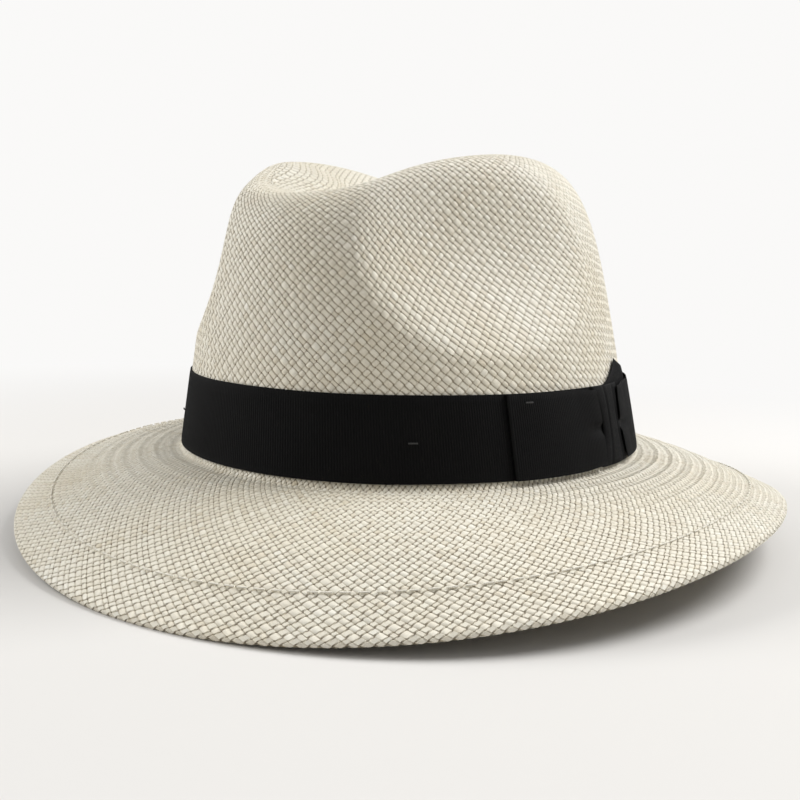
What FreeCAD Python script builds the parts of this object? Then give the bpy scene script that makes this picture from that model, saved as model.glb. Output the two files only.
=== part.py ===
"""Panama hat: a woven straw crown and brim, a grosgrain band with a flat side bow,
and a leather sweatband stitched inside the head opening.

Frame: +Z up, the front of the hat looks along -Y, the wearer's left is +X.  The hat
stands on its brim at z = 0.  Heights in the sheet are measured from the band line, the
level where the wall of the crown turns out into the brim.
"""
import FreeCAD
import Part
import math
import os
import Sketcher

Vector = FreeCAD.Vector

# name, value in millimetres, degrees or a plain ratio, and what it sizes
DRIVING_SIZES = [
    # head opening and crown
    ("head_long", 205.0, "crown outside, front to back, at the band line"),
    ("head_wide", 171.0, "crown outside, side to side, at the band line"),
    ("crown_height", 116.8, "band line to the top of the side ridges"),
    ("side_taper", 0.31, "share of the width lost from the band line to the top"),
    ("end_taper", 0.05, "share of the length lost from the band line to the top"),
    ("tip_lean", 3.5, "how far the top sits forward of the band line"),
    ("shoulder_round", 5.0, "roundness of the shoulder seen from above"),
    ("shoulder_rise", 6.3, "roundness of the shoulder seen from the side"),
    ("straw", 1.2, "thickness of the woven straw"),
    # creases blocked into the crown
    ("valley_depth", 26.0, "centre crease, below the side ridges"),
    ("valley_half", 35.0, "half width of the centre crease"),
    ("valley_tail", 80.0, "length of the centre crease behind the tip"),
    ("valley_wall", 2.7, "steepness of the crease's two sides"),
    ("valley_fade", 3.0, "steepness of the crease's rear end"),
    ("valley_edge", 5.0, "how sharply the crease breaks at the rim"),
    ("front_fall", 2.0, "extra fall of the front rim"),
    ("fall_behind", 0.27, "where that fall begins, a share of the half length behind the middle"),
    ("fall_ahead", 0.63, "where that fall is whole, a share of the half length ahead of the middle"),
    ("fall_edge", 3.0, "how closely that fall keeps to the rim"),
    ("pinch_depth", 11.2, "depth of each side pinch"),
    ("pinch_turn", 50.4, "middle of a pinch, round from the front"),
    ("pinch_front", 29.8, "reach of a pinch towards the front"),
    ("pinch_back", 37.8, "reach of a pinch towards the back"),
    ("pinch_level", 74.0, "height of the middle of a pinch"),
    ("pinch_half", 36.0, "half height of a pinch"),
    ("pinch_edge", 1.4, "softness of the edge of a pinch"),
    ("pinch_lean", 0.35, "backward share of the push of a pinch"),
    ("tip_flat", 0.30, "share of the width, at the top, that no pinch reaches"),
    ("tip_free", 0.65, "share of the width beyond which a pinch is whole"),
    # brim
    ("brim_end", 62.6, "brim width at the front and the back"),
    ("brim_side", 58.0, "brim width at the sides"),
    ("droop_end", 27.7, "fall of the brim at the front and the back"),
    ("droop_side", 12.4, "fall of the brim at the sides"),
    ("droop_curve", 1.68, "how much of the fall is left to the outer edge"),
    ("bend", 2.0, "radius where the crown turns into the brim"),
    ("collar", 6.0, "height of the brim's upstand behind the band"),
    ("hem", 13.0, "width folded under at the edge of the brim"),
    ("hem_ramp", 3.5, "width over which the hem thickens"),
    # band and bow, all cut from one width of ribbon
    ("ribbon", 0.7, "thickness of the grosgrain"),
    ("ribbon_width", 27.2, "width of the grosgrain"),
    ("ribbon_low", 0.3, "lower edge of the band above the band line"),
    ("snug", 0.15, "clearance between neighbouring layers"),
    ("loop_thick", 2.2, "folded front loop of the bow"),
    ("loop_first", 46.5, "front end of the bow, round from the front"),
    ("knot_first", 78.0, "front edge of the knot"),
    ("knot_last", 92.4, "rear edge of the knot"),
    ("knot_thick", 4.2, "thickness of the knot over the band"),
    ("knot_over", 0.6, "how far the knot stands past the ribbon's edges"),
    ("rear_last", 119.0, "rear end of the rear loop"),
    ("rear_thick", 1.8, "folded rear loop of the bow"),
    ("tail_last", 126.0, "rear end of the tail"),
    ("tail_apex", 37.0, "top corner of the tail"),
    ("tail_slope", 2.0, "rise of the tail's upper edge from its first corner to its end"),
    ("tail_corner", 0.3, "where that first corner lies, a share of the tail's reach"),
    ("tail_lowest", 1.0, "lower corner of the notched end of the tail"),
    ("tail_thick", 0.8, "thickness of the tail"),
    ("tail_notch", 7.0, "depth of the notch in the end of the tail"),
    ("turn_gap", 0.35, "angle left between the bow's pieces"),
    # sweatband
    ("sweat_low", 0.3, "lower edge of the sweatband"),
    ("sweat_height", 34.0, "height of the sweatband"),
    ("sweat_thick", 1.0, "thickness of the leather"),
    ("sweat_gap", 0.3, "clearance between the leather and the straw"),
    ("reed", 1.6, "diameter of the reed in the edge of the sweatband"),
    ("tape_thick", 0.5, "thickness of the tape over the rear seam"),
    ("tape_low", 2.0, "lower end of the tape"),
    ("tape_short", 1.0, "upper end of the tape below the sweatband's edge"),
    ("tape_first", 176.0, "left edge of the tape"),
    ("tape_last", 184.0, "right edge of the tape"),
    ("tag_thick", 0.3, "thickness of the size tag"),
    ("tag_first", 152.0, "left edge of the size tag"),
    ("tag_last", 161.0, "right edge of the size tag"),
    ("tag_height", 16.0, "height of the size tag"),
    ("tag_drop", 3.0, "upper edge of the tag below the sweatband's edge"),
    # thread
    ("thread", 0.5, "diameter of the sewing thread"),
    ("stitch", 3.0, "length of one stitch"),
    ("stitch_pitch", 4.6, "spacing of the stitches"),
    ("seam_level", 2.5, "seam of the sweatband above the band line"),
    ("tack_level", 13.0, "tacks of the band above the band line"),
    ("loop_tack_level", 25.0, "tack of the bow's front loop above the band line"),
]

doc = FreeCAD.newDocument("PanamaHat")
sheet = doc.addObject("Spreadsheet::Sheet", "Sizes")


def enter(row, name, number, meaning):
    """Write one size and its alias into the sheet."""
    cell = "A%d" % row
    sheet.set(cell, "%.6g" % number)
    sheet.setAlias(cell, name)
    sheet.set("B%d" % row, meaning)


for row, (name, number, meaning) in enumerate(DRIVING_SIZES, start=1):
    enter(row, name, number, meaning)
doc.recompute()


def size(name):
    """Read a size back from the sheet."""
    return float(sheet.get(name))


# ---------------------------------------------------------------- form of the straw


def step(x, low, high):
    """Smooth step from 0 at low to 1 at high."""
    u = min(max((x - low) / (high - low), 0.0), 1.0)
    return u * u * (3 - 2 * u)


def crown_point(turn, climb):
    """Outer face of the crown.

    turn goes round from the front towards the wearer's left, climb goes from 0 at the
    band line to pi/2 at the middle of the tip.
    """
    around = math.cos(climb) ** (2 / size("shoulder_round"))
    rise = math.sin(climb) ** (2 / size("shoulder_rise"))
    x = size("head_wide") / 2 * around * math.sin(turn) * (1 - size("side_taper") * rise)
    y = -size("head_long") / 2 * around * math.cos(turn) * (1 - size("end_taper") * rise)
    y -= size("tip_lean") * rise
    z = size("crown_height") * rise

    # centre crease, open at the front rim and running out towards the back
    across = math.exp(-abs(x / size("valley_half")) ** size("valley_wall"))
    behind = math.exp(-(max(y, 0.0) / size("valley_tail")) ** size("valley_fade"))
    z -= size("valley_depth") * across * behind * rise ** size("valley_edge")
    forward = -2 * y / size("head_long")
    ahead = step(forward, -size("fall_behind"), size("fall_ahead"))
    z -= size("front_fall") * ahead * rise ** size("fall_edge")

    # the two side pinches, which die out over the ridges
    off = abs(math.atan2(math.sin(turn), math.cos(turn))) - math.radians(size("pinch_turn"))
    reach = math.radians(size("pinch_front") if off < 0 else size("pinch_back"))
    far = (off / reach) ** 2 + ((z - size("pinch_level")) / size("pinch_half")) ** 2
    below_tip = step(around, size("tip_flat"), size("tip_free"))
    push = size("pinch_depth") * max(1 - far, 0.0) ** size("pinch_edge") * below_tip
    side = math.copysign(1.0, math.sin(turn))
    return Vector(x - side * push, y + size("pinch_lean") * push, z)


def climb_at(height):
    """The climb at which the open crown reaches a height on its straight wall."""
    return math.asin((height / size("crown_height")) ** (size("shoulder_rise") / 2))


def brim_shape(turn):
    """Width and fall of the brim at one turn."""
    ends = 0.5 + 0.5 * math.cos(2 * turn)
    width = size("brim_side") + (size("brim_end") - size("brim_side")) * ends
    fall = size("droop_side") + (size("droop_end") - size("droop_side")) * ends
    return width, math.radians(fall)


def brim_point(turn, share):
    """Upper face of the brim.

    share goes from -2 at the top of the collar through -1 at the band line, where the
    bend begins, and 0 at the end of the bend to 1 at the edge.
    """
    if share < -1:
        return crown_point(turn, climb_at(size("collar") * (-1 - share)))
    base = Vector(size("head_wide") / 2 * math.sin(turn), -size("head_long") / 2 * math.cos(turn), 0)
    out = Vector(math.sin(turn) / size("head_wide"), -math.cos(turn) / size("head_long"), 0)
    out.normalize()
    bend = size("bend")
    if share < 0:
        swing = (share + 1) * math.pi / 2
        reach = bend * (1 - math.cos(swing))
        fall = bend * math.sin(swing)
    else:
        width, angle = brim_shape(turn)
        reach = bend + (width * math.cos(angle) - bend) * share
        fall = bend + (width * math.sin(angle) - bend) * share ** size("droop_curve")
    return base + out * reach - Vector(0, 0, fall)


def outward(surface, turn, along):
    """Unit normal of a surface, on the side away from a point far below the head."""
    d = 1e-3
    up = min(d, along / 2, (math.pi / 2 - along) / 2) if surface is crown_point else d
    round_way = surface(turn + d, along) - surface(turn - d, along)
    up_way = surface(turn, along + up) - surface(turn, along - up)
    normal = round_way.cross(up_way)
    normal.normalize()
    below = Vector(0, 0, -size("head_long"))
    return normal if normal.dot(surface(turn, along) - below) > 0 else -normal


TURNS = 96  # points in a row, once round the hat
CROWN_ROWS = 40
BRIM_ROWS = 18  # rows of the flat of the brim
TIP_RADIUS = 0.045  # share of the crown's width left to the flat cap at the tip
TURN_OVER = 0.95  # share of the height at which the wall turns over into the tip


def turns():
    """The turns of the points in one row, once round from the back."""
    return [-math.pi + 2 * math.pi * i / TURNS for i in range(TURNS)]


def crown_climbs(rows):
    """Climbs evenly spaced along the side of the crown, from the collar to the tip."""
    low = size("collar") / size("crown_height")
    steps = 1000
    by_rise = [low + (TURN_OVER - low) * i / steps for i in range(steps)]
    fine = [math.asin(rise ** (size("shoulder_rise") / 2)) for rise in by_rise]
    turned = math.asin(TURN_OVER ** (size("shoulder_rise") / 2))
    wide = math.cos(turned) ** (2 / size("shoulder_round"))
    by_reach = [wide + (TIP_RADIUS - wide) * i / steps for i in range(steps + 1)]
    fine += [math.acos(reach ** (size("shoulder_round") / 2)) for reach in by_reach]
    run = [0.0]
    for before, after in zip(fine, fine[1:]):
        a = crown_point(math.pi / 2, before)
        b = crown_point(math.pi / 2, after)
        run.append(run[-1] + a.distanceToPoint(b))
    climbs = []
    k = 0
    for row in range(rows + 1):
        wanted = run[-1] * row / rows
        while k < len(run) - 1 and run[k] < wanted - 1e-9:
            k += 1
        climbs.append(fine[k])
    return climbs


def flatten(row):
    """Bring a row of points to their mean height."""
    level = sum(point.z for point in row) / len(row)
    return [Vector(point.x, point.y, level) for point in row]


def skin_over(rows):
    """One smooth cubic face over rows of points, closed round the hat."""
    poles = [list(column) for column in zip(*rows)]
    round_count = len(poles)
    row_count = len(rows)
    ends = [4] + [1] * (row_count - 4) + [4]
    surface = Part.BSplineSurface()
    surface.buildFromPolesMultsKnots(
        poles,
        [1] * (round_count + 1),
        ends,
        list(range(round_count + 1)),
        list(range(row_count - 2)),
        True,
        False,
        3,
        3,
    )
    return surface.toShape()


def ring_edge(face, level):
    """The closed edge of a face at a level."""
    closed = [edge for edge in face.Edges if edge.isClosed()]
    return min(closed, key=lambda edge: abs(edge.Vertexes[0].Point.z - level))


def solid_of(faces):
    """Sew faces into one solid, facing out."""
    shell = Part.makeShell(faces)
    shell.sewShape()
    solid = Part.Solid(shell.Shells[0] if shell.ShapeType != "Shell" else shell)
    if solid.Volume < 0:
        solid.reverse()
    return solid


def crown_shape():
    """Shell of the crown from the top of the collar to the tip."""
    outer = []
    inner = []
    straw = size("straw")
    climbs = crown_climbs(CROWN_ROWS)
    for climb in climbs:
        skin = [crown_point(turn, climb) for turn in turns()]
        lining = [p - outward(crown_point, turn, climb) * straw for p, turn in zip(skin, turns())]
        outer.append(skin)
        inner.append(lining)
    level = size("collar")
    inner[0] = [Vector(p.x, p.y, level) for p in inner[0]]
    outer[0] = [Vector(p.x, p.y, level) for p in outer[0]]
    outer[-1] = flatten(outer[-1])
    inner[-1] = [Vector(p.x, p.y, p.z - straw) for p in outer[-1]]
    skin = skin_over(outer)
    lining = skin_over(inner)
    tip = outer[-1][0].z
    rim = Part.makeRuledSurface(ring_edge(skin, level), ring_edge(lining, level))
    top = Part.Face(Part.Wire(ring_edge(skin, tip)))
    under = Part.Face(Part.Wire(ring_edge(lining, tip - straw)))
    return solid_of([skin, lining, rim, top, under])


def brim_shares():
    """Shares of the rows of the brim, closer together at the bend and the hem."""
    collar = [-2.0, -1.7, -1.4, -1.2]
    bend = [-1.0, -0.75, -0.5, -0.25]
    plate = [i / BRIM_ROWS for i in range(BRIM_ROWS + 1)]
    return collar + bend + plate


def brim_thickness(turn, share):
    """Single straw, and double where the hem is folded under."""
    width = brim_shape(turn)[0]
    from_edge = width * (1 - max(share, 0.0))
    folded = 1 - step(from_edge, size("hem"), size("hem") + size("hem_ramp"))
    return size("straw") * (1 + folded)


def under_brim(turn, share):
    """Lower face of the brim."""
    if share <= -2:
        point = brim_point(turn, share)
        normal = outward(crown_point, turn, climb_at(size("collar")))
        lower = point - normal * size("straw")
        return Vector(lower.x, lower.y, point.z)
    inside = min(max(share, -1.99), 0.998)
    normal = outward(brim_point, turn, inside)
    return brim_point(turn, share) - normal * brim_thickness(turn, share)


def brim_solid():
    """Shell of the brim with its collar, bend and hem."""
    upper = [[brim_point(turn, share) for turn in turns()] for share in brim_shares()]
    lower = [[under_brim(turn, share) for turn in turns()] for share in brim_shares()]
    top = skin_over(upper)
    bottom = skin_over(lower)
    collar = size("collar")
    inner_rim = Part.makeRuledSurface(ring_edge(top, collar), ring_edge(bottom, collar))
    far = -1000.0
    outer_rim = Part.makeRuledSurface(ring_edge(top, far), ring_edge(bottom, far))
    return solid_of([top, bottom, inner_rim, outer_rim])


# the brim stands on the lowest point of its edge, at the front and the back
enter(len(DRIVING_SIZES) + 1, "band_line", -under_brim(0.0, 1.0).z, "band line above the ground")
doc.recompute()


def add_feature(label, shape):
    """A sub-part with a shape of its own, standing at the band line."""
    feature = doc.addObject("Part::Feature", label)
    feature.Label = label
    feature.Shape = shape
    feature.Placement = FreeCAD.Placement(Vector(0, 0, size("band_line")), FreeCAD.Rotation())
    return feature


# ---------------------------------------------------------------- bands that follow the wall


def add_body(label):
    """An empty body that stands at the band line."""
    body = doc.addObject("PartDesign::Body", label)
    body.Label = label
    body.setExpression("Placement.Base.z", "Sizes.band_line")
    return body


def base_plane(body, role):
    """One of a body's own origin planes."""
    return [item for item in body.Origin.OriginFeatures if item.Role == role][0]


def oval_sketch(body, name, height, offset):
    """The oval of the crown's wall at a height, moved out by an offset."""
    sketch = body.newObject("Sketcher::SketchObject", name)
    sketch.AttachmentSupport = [(base_plane(body, "XY_Plane"), "")]
    sketch.MapMode = "FlatFace"
    rise = "(%s) / Sizes.crown_height" % height
    sketch.setExpression("AttachmentOffset.Base.y", "-Sizes.tip_lean * %s" % rise)
    sketch.setExpression("AttachmentOffset.Base.z", height)
    sketch.addGeometry(Part.Ellipse(Vector(0, 100, 0), Vector(80, 0, 0), Vector(0, 0, 0)), False)
    sketch.exposeInternalGeometry(0)
    oval, long_axis, wide_axis, centre = 0, 1, 2, 3
    sketch.addConstraint(Sketcher.Constraint("Vertical", long_axis))
    sketch.addConstraint(Sketcher.Constraint("Coincident", oval, centre, -1, 1))
    length = sketch.addConstraint(Sketcher.Constraint("Distance", long_axis, 200))
    width = sketch.addConstraint(Sketcher.Constraint("Distance", wide_axis, 160))
    for index, across, taper in (
        (length, "Sizes.head_long", "Sizes.end_taper"),
        (width, "Sizes.head_wide", "Sizes.side_taper"),
    ):
        formula = "%s * (1 - %s * %s) + 2 * (%s)" % (across, taper, rise, offset)
        sketch.setExpression("Constraints[%d]" % index, formula)
    return sketch


def add_oval_ring(label, low, high, inner, outer):
    """A ring round the wall of the crown between two heights and two offsets."""
    body = add_body(label)
    for name, kind, offset in (
        ("outside", "PartDesign::AdditiveLoft", outer),
        ("inside", "PartDesign::SubtractiveLoft", inner),
    ):
        bottom = oval_sketch(body, "%s_%s_bottom" % (label, name), low, offset)
        top = oval_sketch(body, "%s_%s_top" % (label, name), high, offset)
        loft = body.newObject(kind, "%s_%s" % (label, name))
        loft.Profile = bottom
        loft.Sections = [top]
        loft.Ruled = True
    return body


def pinned_outline(body, name, plane, corners):
    """A sketch of one straight-sided loop whose corners sit at expressions."""
    sketch = body.newObject("Sketcher::SketchObject", name)
    sketch.AttachmentSupport = [(base_plane(body, plane), "")]
    sketch.MapMode = "FlatFace"
    count = len(corners)
    start_radius = 50
    for i in range(count):
        a = 2 * math.pi * i / count
        b = 2 * math.pi * (i + 1) / count
        start = Vector(start_radius * math.cos(a), start_radius * math.sin(a), 0)
        end = Vector(start_radius * math.cos(b), start_radius * math.sin(b), 0)
        sketch.addGeometry(Part.LineSegment(start, end), False)
    for line, (along, across) in enumerate(corners):
        before = (line - 1) % count
        sketch.addConstraint(Sketcher.Constraint("Coincident", before, 2, line, 1))
        for kind, formula in (("DistanceX", along), ("DistanceY", across)):
            pin = sketch.addConstraint(Sketcher.Constraint(kind, -1, 1, line, 1, 10.0))
            sketch.setExpression("Constraints[%d]" % pin, formula)
    return sketch


def cut_through(body, name, sketch):
    """Cut a sketch right through the body, both ways."""
    pocket = body.newObject("PartDesign::Pocket", name)
    pocket.Profile = sketch
    pocket.Type = "ThroughAll"
    pocket.SideType = "Symmetric"
    return pocket


def add_sector(label, ring, first, last):
    """The part of a ring between two turns, as a common of the ring and a slice."""
    slice_of = doc.addObject("Part::Cylinder", label + "_slice")
    slice_of.setExpression("Radius", "Sizes.head_long")
    slice_of.setExpression("Height", "4 * Sizes.ribbon_width")
    slice_of.setExpression("Angle", "(%s) - (%s)" % (last, first))
    slice_of.Placement = FreeCAD.Placement(Vector(0, 0, 0), FreeCAD.Rotation(Vector(0, 0, 1), 1))
    slice_of.setExpression("Placement.Rotation.Angle", "(%s) - 90" % first)
    slice_of.setExpression("Placement.Base.z", "Sizes.band_line - Sizes.ribbon_width")
    piece = doc.addObject("Part::Common", label)
    piece.Label = label
    piece.Base = ring
    piece.Tool = slice_of
    return piece


# ---------------------------------------------------------------- the hat, piece by piece

pieces = [add_feature("crown", crown_shape()), add_feature("brim", brim_solid())]

# grosgrain band, its two ends meeting under the knot
LOW = "Sizes.ribbon_low"
HIGH = "Sizes.ribbon_low + Sizes.ribbon_width"
BAND_IN = "Sizes.snug"
BAND_OUT = "Sizes.snug + Sizes.ribbon"
KNOT_MIDDLE = "(Sizes.knot_first + Sizes.knot_last) / 2"
band_loop = add_oval_ring("band_loop", LOW, HIGH, BAND_IN, BAND_OUT)
first = KNOT_MIDDLE + " + Sizes.turn_gap / 2"
last = KNOT_MIDDLE + " + 360 - Sizes.turn_gap / 2"
pieces.append(add_sector("ribbon_band", band_loop, first, last))

# flat bow: folded front loop, knot, folded rear loop over the fanned tail
OVER_BAND = BAND_OUT + " + Sizes.snug"
loop_ring = add_oval_ring("loop_ring", LOW, HIGH, OVER_BAND, OVER_BAND + " + Sizes.loop_thick")
last = "Sizes.knot_first - Sizes.turn_gap"
pieces.append(add_sector("bow_front_loop", loop_ring, "Sizes.loop_first", last))

knot_out = OVER_BAND + " + Sizes.knot_thick"
knot_low = LOW + " - Sizes.knot_over"
knot_ring = add_oval_ring("knot_ring", knot_low, HIGH + " + Sizes.knot_over", OVER_BAND, knot_out)
pieces.append(add_sector("bow_knot", knot_ring, "Sizes.knot_first", "Sizes.knot_last"))

tail_out = OVER_BAND + " + Sizes.tail_thick"
tail_ring = add_oval_ring("tail_ring", LOW, "Sizes.tail_apex", OVER_BAND, tail_out)
END_Y = "Sizes.head_long / 2 * sin(Sizes.tail_last - 90)"
FAR = "2 * Sizes.head_long"
above_tail = [
    ("-" + FAR, HIGH),
    ("Sizes.tail_lowest", HIGH),
    (END_Y + " * Sizes.tail_corner", "Sizes.tail_apex - Sizes.tail_slope / 2"),
    (END_Y, "Sizes.tail_apex + Sizes.tail_slope / 2"),
    (FAR, "2 * Sizes.tail_apex"),
    ("-" + FAR, "2 * Sizes.tail_apex"),
]
notch = [
    (FAR, "Sizes.tail_apex - Sizes.tail_lowest"),
    (END_Y + " - Sizes.tail_notch", "Sizes.tail_apex / 2"),
    (FAR, "Sizes.tail_lowest"),
]
slope_line = pinned_outline(tail_ring, "tail_slope_line", "YZ_Plane", above_tail)
cut_through(tail_ring, "tail_slope", slope_line)
notch_line = pinned_outline(tail_ring, "tail_notch_line", "YZ_Plane", notch)
cut_through(tail_ring, "tail_notch_cut", notch_line)
first = "Sizes.knot_last + Sizes.turn_gap"
pieces.append(add_sector("bow_tail", tail_ring, first, "Sizes.tail_last"))

over_tail = tail_out + " + Sizes.snug"
rear_ring = add_oval_ring("rear_ring", LOW, HIGH, over_tail, over_tail + " + Sizes.rear_thick")
pieces.append(add_sector("bow_rear_loop", rear_ring, first, "Sizes.rear_last"))

# leather sweatband with its reed, seam tape and size tag
SWEAT_LOW = "Sizes.sweat_low"
SWEAT_OUT = "-Sizes.straw - Sizes.sweat_gap"
SWEAT_IN = SWEAT_OUT + " - Sizes.sweat_thick"
sweat_high = SWEAT_LOW + " + Sizes.sweat_height"
pieces.append(add_oval_ring("sweatband", SWEAT_LOW, sweat_high, SWEAT_IN, SWEAT_OUT))

tape_out = SWEAT_IN + " - Sizes.snug"
tape_high = sweat_high + " - Sizes.tape_short"
tape_in = tape_out + " - Sizes.tape_thick"
tape_ring = add_oval_ring("tape_ring", "Sizes.tape_low", tape_high, tape_in, tape_out)
pieces.append(add_sector("sweatband_seam_tape", tape_ring, "Sizes.tape_first", "Sizes.tape_last"))

tag_high = sweat_high + " - Sizes.tag_drop"
tag_low = tag_high + " - Sizes.tag_height"
tag_in = tape_out + " - Sizes.tag_thick"
tag_ring = add_oval_ring("tag_ring", tag_low, tag_high, tag_in, tape_out)
pieces.append(add_sector("size_tag", tag_ring, "Sizes.tag_first", "Sizes.tag_last"))

# reed: a round cord in the lower edge of the sweatband, flush with its outer face
reed_body = add_body("sweatband_reed")
REED_MIDDLE = SWEAT_OUT + " - Sizes.reed / 2"
reed_level = "%s - Sizes.snug - Sizes.reed / 2" % SWEAT_LOW
reed_path = oval_sketch(reed_body, "reed_path", reed_level, REED_MIDDLE)
reed_section = reed_body.newObject("Sketcher::SketchObject", "reed_section")
reed_section.AttachmentSupport = [(base_plane(reed_body, "XZ_Plane"), "")]
reed_section.MapMode = "FlatFace"
reed_section.addGeometry(Part.Circle(Vector(80, 0, 0), Vector(0, 0, 1), 1), False)
reach = "Sizes.head_wide / 2 * (1 - Sizes.side_taper * (%s) / Sizes.crown_height) + %s"
for kind, ends, formula in (
    ("DistanceX", (-1, 1, 0, 3), reach % (reed_level, REED_MIDDLE)),
    ("DistanceY", (0, 3, -1, 1), "-(%s)" % reed_level),
    ("Diameter", (0,), "Sizes.reed"),
):
    pin = reed_section.addConstraint(Sketcher.Constraint(kind, *ends, 1.0))
    reed_section.setExpression("Constraints[%d]" % pin, formula)
reed_sweep = reed_body.newObject("PartDesign::AdditivePipe", "reed_sweep")
reed_sweep.Profile = reed_section
reed_sweep.Spine = reed_path
pieces.append(reed_body)


# ---------------------------------------------------------------- sewing


def stitch_at(middle, along):
    """One stitch of thread lying along a direction."""
    along = Vector(along)
    along.normalize()
    start = middle - along * (size("stitch") / 2)
    return Part.makeCylinder(size("thread") / 2, size("stitch"), start, along)


def seam(path, normal):
    """Stitches evenly spaced round a closed seam, lying on the side of a normal."""
    fine = 720
    ring = [path(-math.pi + 2 * math.pi * i / fine) for i in range(fine + 1)]
    run = [0.0]
    for a, b in zip(ring, ring[1:]):
        run.append(run[-1] + a.distanceToPoint(b))
    count = round(run[-1] / size("stitch_pitch"))
    stitches = []
    k = 0
    for n in range(count):
        while run[k + 1] < run[-1] * (n + 0.5) / count:
            k += 1
        turn = -math.pi + 2 * math.pi * (k + 0.5) / fine
        lift = normal(turn) * (size("thread") / 2 + size("snug"))
        stitches.append(stitch_at(path(turn) + lift, ring[k + 1] - ring[k]))
    return Part.makeCompound(stitches)


def hem_share(turn):
    """Share of the brim at which the hem is sewn down."""
    width = brim_shape(turn)[0]
    return 1 - size("hem") / width


def hem_line(turn):
    return brim_point(turn, hem_share(turn))


def hem_normal(turn):
    return outward(brim_point, turn, hem_share(turn))


pieces.append(add_feature("hem_stitching", seam(hem_line, hem_normal)))


def wall_line(turn, height, offset):
    """A point on the oval of the wall, moved out by an offset."""
    rise = height / size("crown_height")
    x = size("head_wide") / 2 * (1 - size("side_taper") * rise) + offset
    y = size("head_long") / 2 * (1 - size("end_taper") * rise) + offset
    return Vector(x * math.sin(turn), -y * math.cos(turn) - size("tip_lean") * rise, height)


def sweat_line(turn):
    """The seam on the inner face of the sweatband."""
    inside = size("straw") + size("sweat_gap") + size("sweat_thick")
    return wall_line(turn, size("seam_level"), -inside)


def sweat_normal(turn):
    """Towards the head, square to the oval."""
    inward = Vector(-math.sin(turn) / size("head_wide"), math.cos(turn) / size("head_long"), 0)
    inward.normalize()
    return inward


pieces.append(add_feature("sweatband_stitching", seam(sweat_line, sweat_normal)))

# tacks that hold the band to the straw and the bow to the band: turn, height and layer
BAND_FACE = size("snug") + size("ribbon")
LOOP_FACE = BAND_FACE + size("snug") + size("loop_thick")
TACKS = [
    (32.0, size("tack_level"), BAND_FACE),
    (-40.0, size("tack_level"), BAND_FACE),
    (-110.0, size("tack_level"), BAND_FACE),
    (180.0, size("tack_level"), BAND_FACE),
    (57.0, size("loop_tack_level"), LOOP_FACE),
]


def tack(turn_degrees, height, face):
    """A single short stitch through the ribbon, lying level on its face."""
    turn = math.radians(turn_degrees)
    out = -sweat_normal(turn)
    level = Vector(-out.y, out.x, 0)
    middle = wall_line(turn, height, face) + out * (size("thread") / 2 + size("snug"))
    return stitch_at(middle, level)


tacks = Part.makeCompound([tack(*place) for place in TACKS])
pieces.append(add_feature("tack_stitches", tacks))


# ---------------------------------------------------------------- check and write

doc.recompute()
for item in doc.Objects:
    if "Invalid" in item.State or "Error" in item.State:
        raise RuntimeError("%s did not build: %s" % (item.Name, item.State))
for piece in pieces:
    if piece.Shape.isNull() or not piece.Shape.isValid() or not piece.Shape.Solids:
        raise RuntimeError("%s has no sound solid" % piece.Label)

os.makedirs("parts", exist_ok=True)
for piece in pieces:
    piece.Shape.exportStep("parts/%s.step" % piece.Label)
    solids = piece.Shape.Solids
    print("%-22s %3d solid(s) %10.1f mm3" % (piece.Label, len(solids), piece.Shape.Volume))
print("band line %.2f mm above the ground" % size("band_line"))
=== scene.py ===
"""A panama hat: hand-woven straw, a black grosgrain band with a flat side bow, and a
leather sweatband.  +Z is up, the front looks along -Y and the bow is on the wearer's
left, +X.  Lengths are in metres."""
import math
import bpy
import numpy as np
from mathutils import Matrix, Vector


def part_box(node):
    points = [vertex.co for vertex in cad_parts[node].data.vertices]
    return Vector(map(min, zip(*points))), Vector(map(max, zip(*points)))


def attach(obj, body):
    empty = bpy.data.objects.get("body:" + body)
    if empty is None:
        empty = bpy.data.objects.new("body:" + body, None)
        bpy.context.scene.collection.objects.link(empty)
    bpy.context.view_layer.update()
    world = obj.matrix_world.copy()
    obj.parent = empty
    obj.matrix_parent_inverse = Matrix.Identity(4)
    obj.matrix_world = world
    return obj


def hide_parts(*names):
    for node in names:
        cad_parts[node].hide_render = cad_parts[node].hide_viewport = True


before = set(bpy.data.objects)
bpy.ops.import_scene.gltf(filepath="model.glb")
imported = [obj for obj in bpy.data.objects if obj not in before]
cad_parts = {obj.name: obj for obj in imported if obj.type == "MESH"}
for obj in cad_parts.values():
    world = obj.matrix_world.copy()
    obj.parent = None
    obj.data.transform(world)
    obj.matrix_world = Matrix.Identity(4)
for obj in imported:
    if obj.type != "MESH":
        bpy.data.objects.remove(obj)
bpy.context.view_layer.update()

bpy.ops.object.select_all(action="DESELECT")

# ---------------------------------------------------------------- crown
# The body of the hat: one cloth of split toquilla straw, woven by hand from a square
# start in the middle of the tip, then blocked with a centre crease and two side pinches.
HEAD_LONG = 0.205
HEAD_WIDE = 0.171
CROWN_HEIGHT = 0.1168
SIDE_TAPER = 0.31
END_TAPER = 0.05
TIP_LEAN = 0.0035
SHOULDER_ROUND = 5.0
SHOULDER_RISE = 6.3
STRAW = 0.0012
COLLAR = 0.006
VALLEY_DEPTH = 0.026
VALLEY_HALF = 0.035
VALLEY_TAIL = 0.080
VALLEY_WALL = 2.7  # a higher number makes the sides of the centre crease steeper
VALLEY_FADE = 3
PINCH_DEPTH = 0.0112
PINCH_TURN = math.radians(50.4)
PINCH_FRONT = math.radians(29.8)
PINCH_BACK = math.radians(37.8)
PINCH_LEVEL = 0.074
PINCH_HALF = 0.036
PINCH_EDGE = 1.4
PINCH_LEAN = 0.35
TIP_FLAT = 0.30  # the pinch fades out between these shares of the crown's width
TIP_FREE = 0.65
FRONT_FALL = 0.002
FALL_BEHIND = -0.27
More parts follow.
